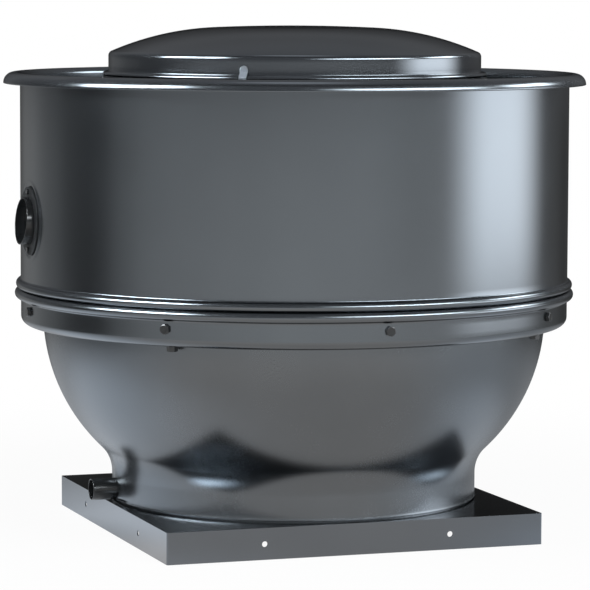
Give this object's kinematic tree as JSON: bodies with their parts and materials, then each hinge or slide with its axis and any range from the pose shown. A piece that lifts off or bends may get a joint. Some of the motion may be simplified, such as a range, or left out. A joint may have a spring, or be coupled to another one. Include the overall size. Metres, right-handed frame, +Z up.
{
  "type": "centrifugal roof exhaust fan",
  "caption": "Upblast centrifugal roof exhaust fan with spun windband and bowl, belt drive in a ventilated compartment, latched cover and square curb cap",
  "frame": {"origin": "on the fan's axis, level with the lower edge of the curb cap", "axes": "+Z up the fan's axis to the discharge; -X towards the drain spout and breather tube; -Y is the front curb face"},
  "size_m": [1.003, 1.0028, 0.8682],
  "materials": {
    "spun_aluminium": "satin dark grey spun metal with fine turning marks",
    "curb_sheet": "satin dark grey sheet",
    "mill_aluminium": "mill finish",
    "black_fitting": "matt black",
    "galvanised_steel": "galvanised",
    "plated_fastener": "zinc plated",
    "zinc_latch": "bright zinc",
    "rubber": "matt",
    "cast_housing": "painted cast iron",
    "ground_steel": "ground",
    "motor_enamel": "enamel",
    "motor_core": "laminated core",
    "moulded_plastic": "moulded",
    "red_plastic": "moulded red plastic"
  },
  "bodies": {
    "housing": {"curb_cap": "curb_sheet", "inlet_venturi": "mill_aluminium", "venturi_screws": "plated_fastener", "lower_windband": "spun_aluminium", "drain_spout": "black_fitting", "support_ring": "spun_aluminium", "ring_bolts": "black_fitting", "ring_nuts": "black_fitting", "strut_bolts": "black_fitting", "strut_nuts": "black_fitting", "support_struts": "galvanised_steel", "isolators": "rubber", "isolator_bolts": "plated_fastener", "floor_plate": "mill_aluminium", "compartment_shell": "mill_aluminium", "cover_rest_ring": "mill_aluminium", "latch_brackets": "zinc_latch", "latch_pins": "zinc_latch", "upper_windband": "spun_aluminium", "breather_flange": "black_fitting", "breather_tube": "black_fitting", "breather_screws": "black_fitting", "drive_frame": "galvanised_steel", "frame_bolts": "plated_fastener", "bearing_housings": "cast_housing", "bearing_bolts": "plated_fastener", "bearing_outer_rings": "ground_steel", "motor_slide_plate": "galvanised_steel", "tension_studs": "plated_fastener", "tension_nuts": "plated_fastener", "motor_frame": "motor_enamel", "motor_end_bells": "motor_enamel", "motor_fan_cowl": "motor_enamel", "motor_stator": "motor_core", "motor_feet_bolts": "plated_fastener", "conduit_box": "motor_enamel", "conduit_lid": "motor_enamel", "v_belt": "rubber", "switch_box": "galvanised_steel", "switch_lid": "galvanised_steel", "switch_screws": "plated_fastener"},
    "fan_rotor": {"wheel_backplate": "mill_aluminium", "wheel_blades": "mill_aluminium", "wheel_shroud": "mill_aluminium", "wheel_hub": "cast_housing", "hub_bolts": "plated_fastener", "fan_shaft": "ground_steel", "bearing_inner_rings": "ground_steel", "fan_pulley": "cast_housing"},
    "motor_drive": {"motor_shaft": "ground_steel", "motor_rotor": "motor_core", "motor_fan": "moulded_plastic", "motor_pulley": "cast_housing"},
    "cover": {"motor_cover": "spun_aluminium"},
    "latch_1": {"latch_1": "zinc_latch"},
    "latch_2": {"latch_2": "zinc_latch"},
    "latch_3": {"latch_3": "zinc_latch"},
    "toggle": {"switch_toggle": "red_plastic"}
  },
  "joints": [
    {"name": "fan_spin", "type": "hinge", "parent": "housing", "child": "fan_rotor", "pos_m": [0, 0, 0.6], "axis": [0, 0, 1], "continuous": true},
    {"name": "motor_spin", "type": "hinge", "parent": "housing", "child": "motor_drive", "pos_m": [0, 0.19, 0.6], "axis": [0, 0, 1], "continuous": true},
    {"name": "cover_lift", "type": "slide", "parent": "housing", "child": "cover", "axis": [0, 0, 1], "range_m": [0, 0.09]},
    {"name": "latch_1_swing", "type": "hinge", "parent": "housing", "child": "latch_1", "pos_m": [-0.18629, -0.27722, 0.7249], "axis": [0.83, -0.5577, 0], "range_deg": [0, 83]},
    {"name": "latch_2_swing", "type": "hinge", "parent": "housing", "child": "latch_2", "pos_m": [0.33323, -0.02272, 0.7249], "axis": [0.068, 0.9977, 0], "range_deg": [0, 83]},
    {"name": "latch_3_swing", "type": "hinge", "parent": "housing", "child": "latch_3", "pos_m": [-0.14694, 0.29994, 0.7249], "axis": [-0.898, -0.4399, 0], "range_deg": [0, 83]},
    {"name": "switch_toggle_swing", "type": "hinge", "parent": "housing", "child": "toggle", "pos_m": [-0.15, -0.179, 0.4382], "axis": [1, 0, 0], "range_deg": [0, 60]}
  ],
  "couplings": [
    {"joint": "motor_spin", "follows": "fan_spin", "ratio": 2.0233},
    {"joint": "latch_1_swing", "follows": "cover_lift", "rad_per_m": 16},
    {"joint": "latch_2_swing", "follows": "cover_lift", "rad_per_m": 16},
    {"joint": "latch_3_swing", "follows": "cover_lift", "rad_per_m": 16}
  ]
}
